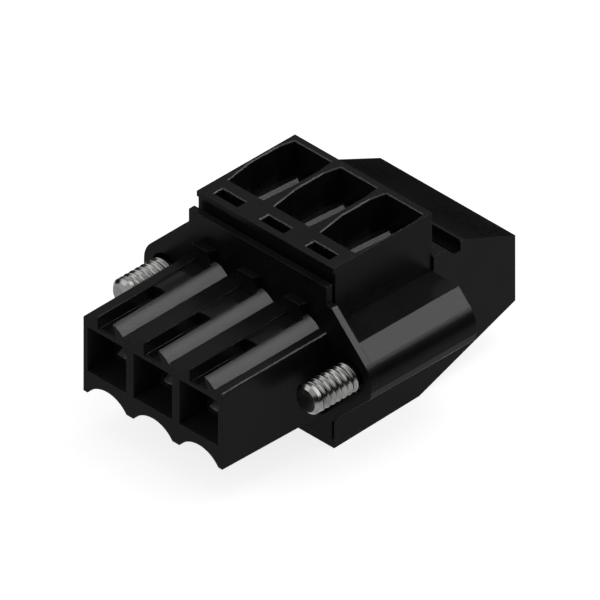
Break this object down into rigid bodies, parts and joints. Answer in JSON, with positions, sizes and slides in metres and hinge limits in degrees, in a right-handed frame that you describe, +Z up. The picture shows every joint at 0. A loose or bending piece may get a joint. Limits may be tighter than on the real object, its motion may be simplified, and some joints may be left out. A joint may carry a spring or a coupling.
{
  "type": "pcb plug connector",
  "caption": "Angled female plug with tension clamps, wire entry from above, screw flanges and coding slots, for pin headers.",
  "frame": {"origin": "middle of the bounding box on the plane of the flat base", "axes": "+X across the poles, +Y from the mating face to the rear, +Z up to the wire entry"},
  "size_m": [0.0252, 0.0326, 0.0166],
  "materials": {
    "housing_plastic": "satin moulded polyamide, fine grain",
    "contact_metal": "tinned copper alloy",
    "spring_steel": "bright spring steel",
    "screw_metal": "zinc plated steel"
  },
  "bodies": {
    "plug": {"front_housing": "housing_plastic", "rear_housing": "housing_plastic", "contact_1": "contact_metal", "contact_2": "contact_metal", "contact_3": "contact_metal", "contact_clip_1": "spring_steel", "contact_clip_2": "spring_steel", "contact_clip_3": "spring_steel", "cage_spring_1": "spring_steel", "cage_spring_2": "spring_steel", "cage_spring_3": "spring_steel"},
    "screw_left": {"flange_screw_left": "screw_metal"},
    "screw_right": {"flange_screw_right": "screw_metal"}
  },
  "joints": [
    {"name": "screw_left_turn", "type": "hinge", "parent": "plug", "child": "screw_left", "pos_m": [-0.01016, -0.00234, 0.00808], "axis": [0, 1, 0], "continuous": true},
    {"name": "screw_right_turn", "type": "hinge", "parent": "plug", "child": "screw_right", "pos_m": [0.01016, -0.00234, 0.00808], "axis": [0, 1, 0], "continuous": true}
  ]
}
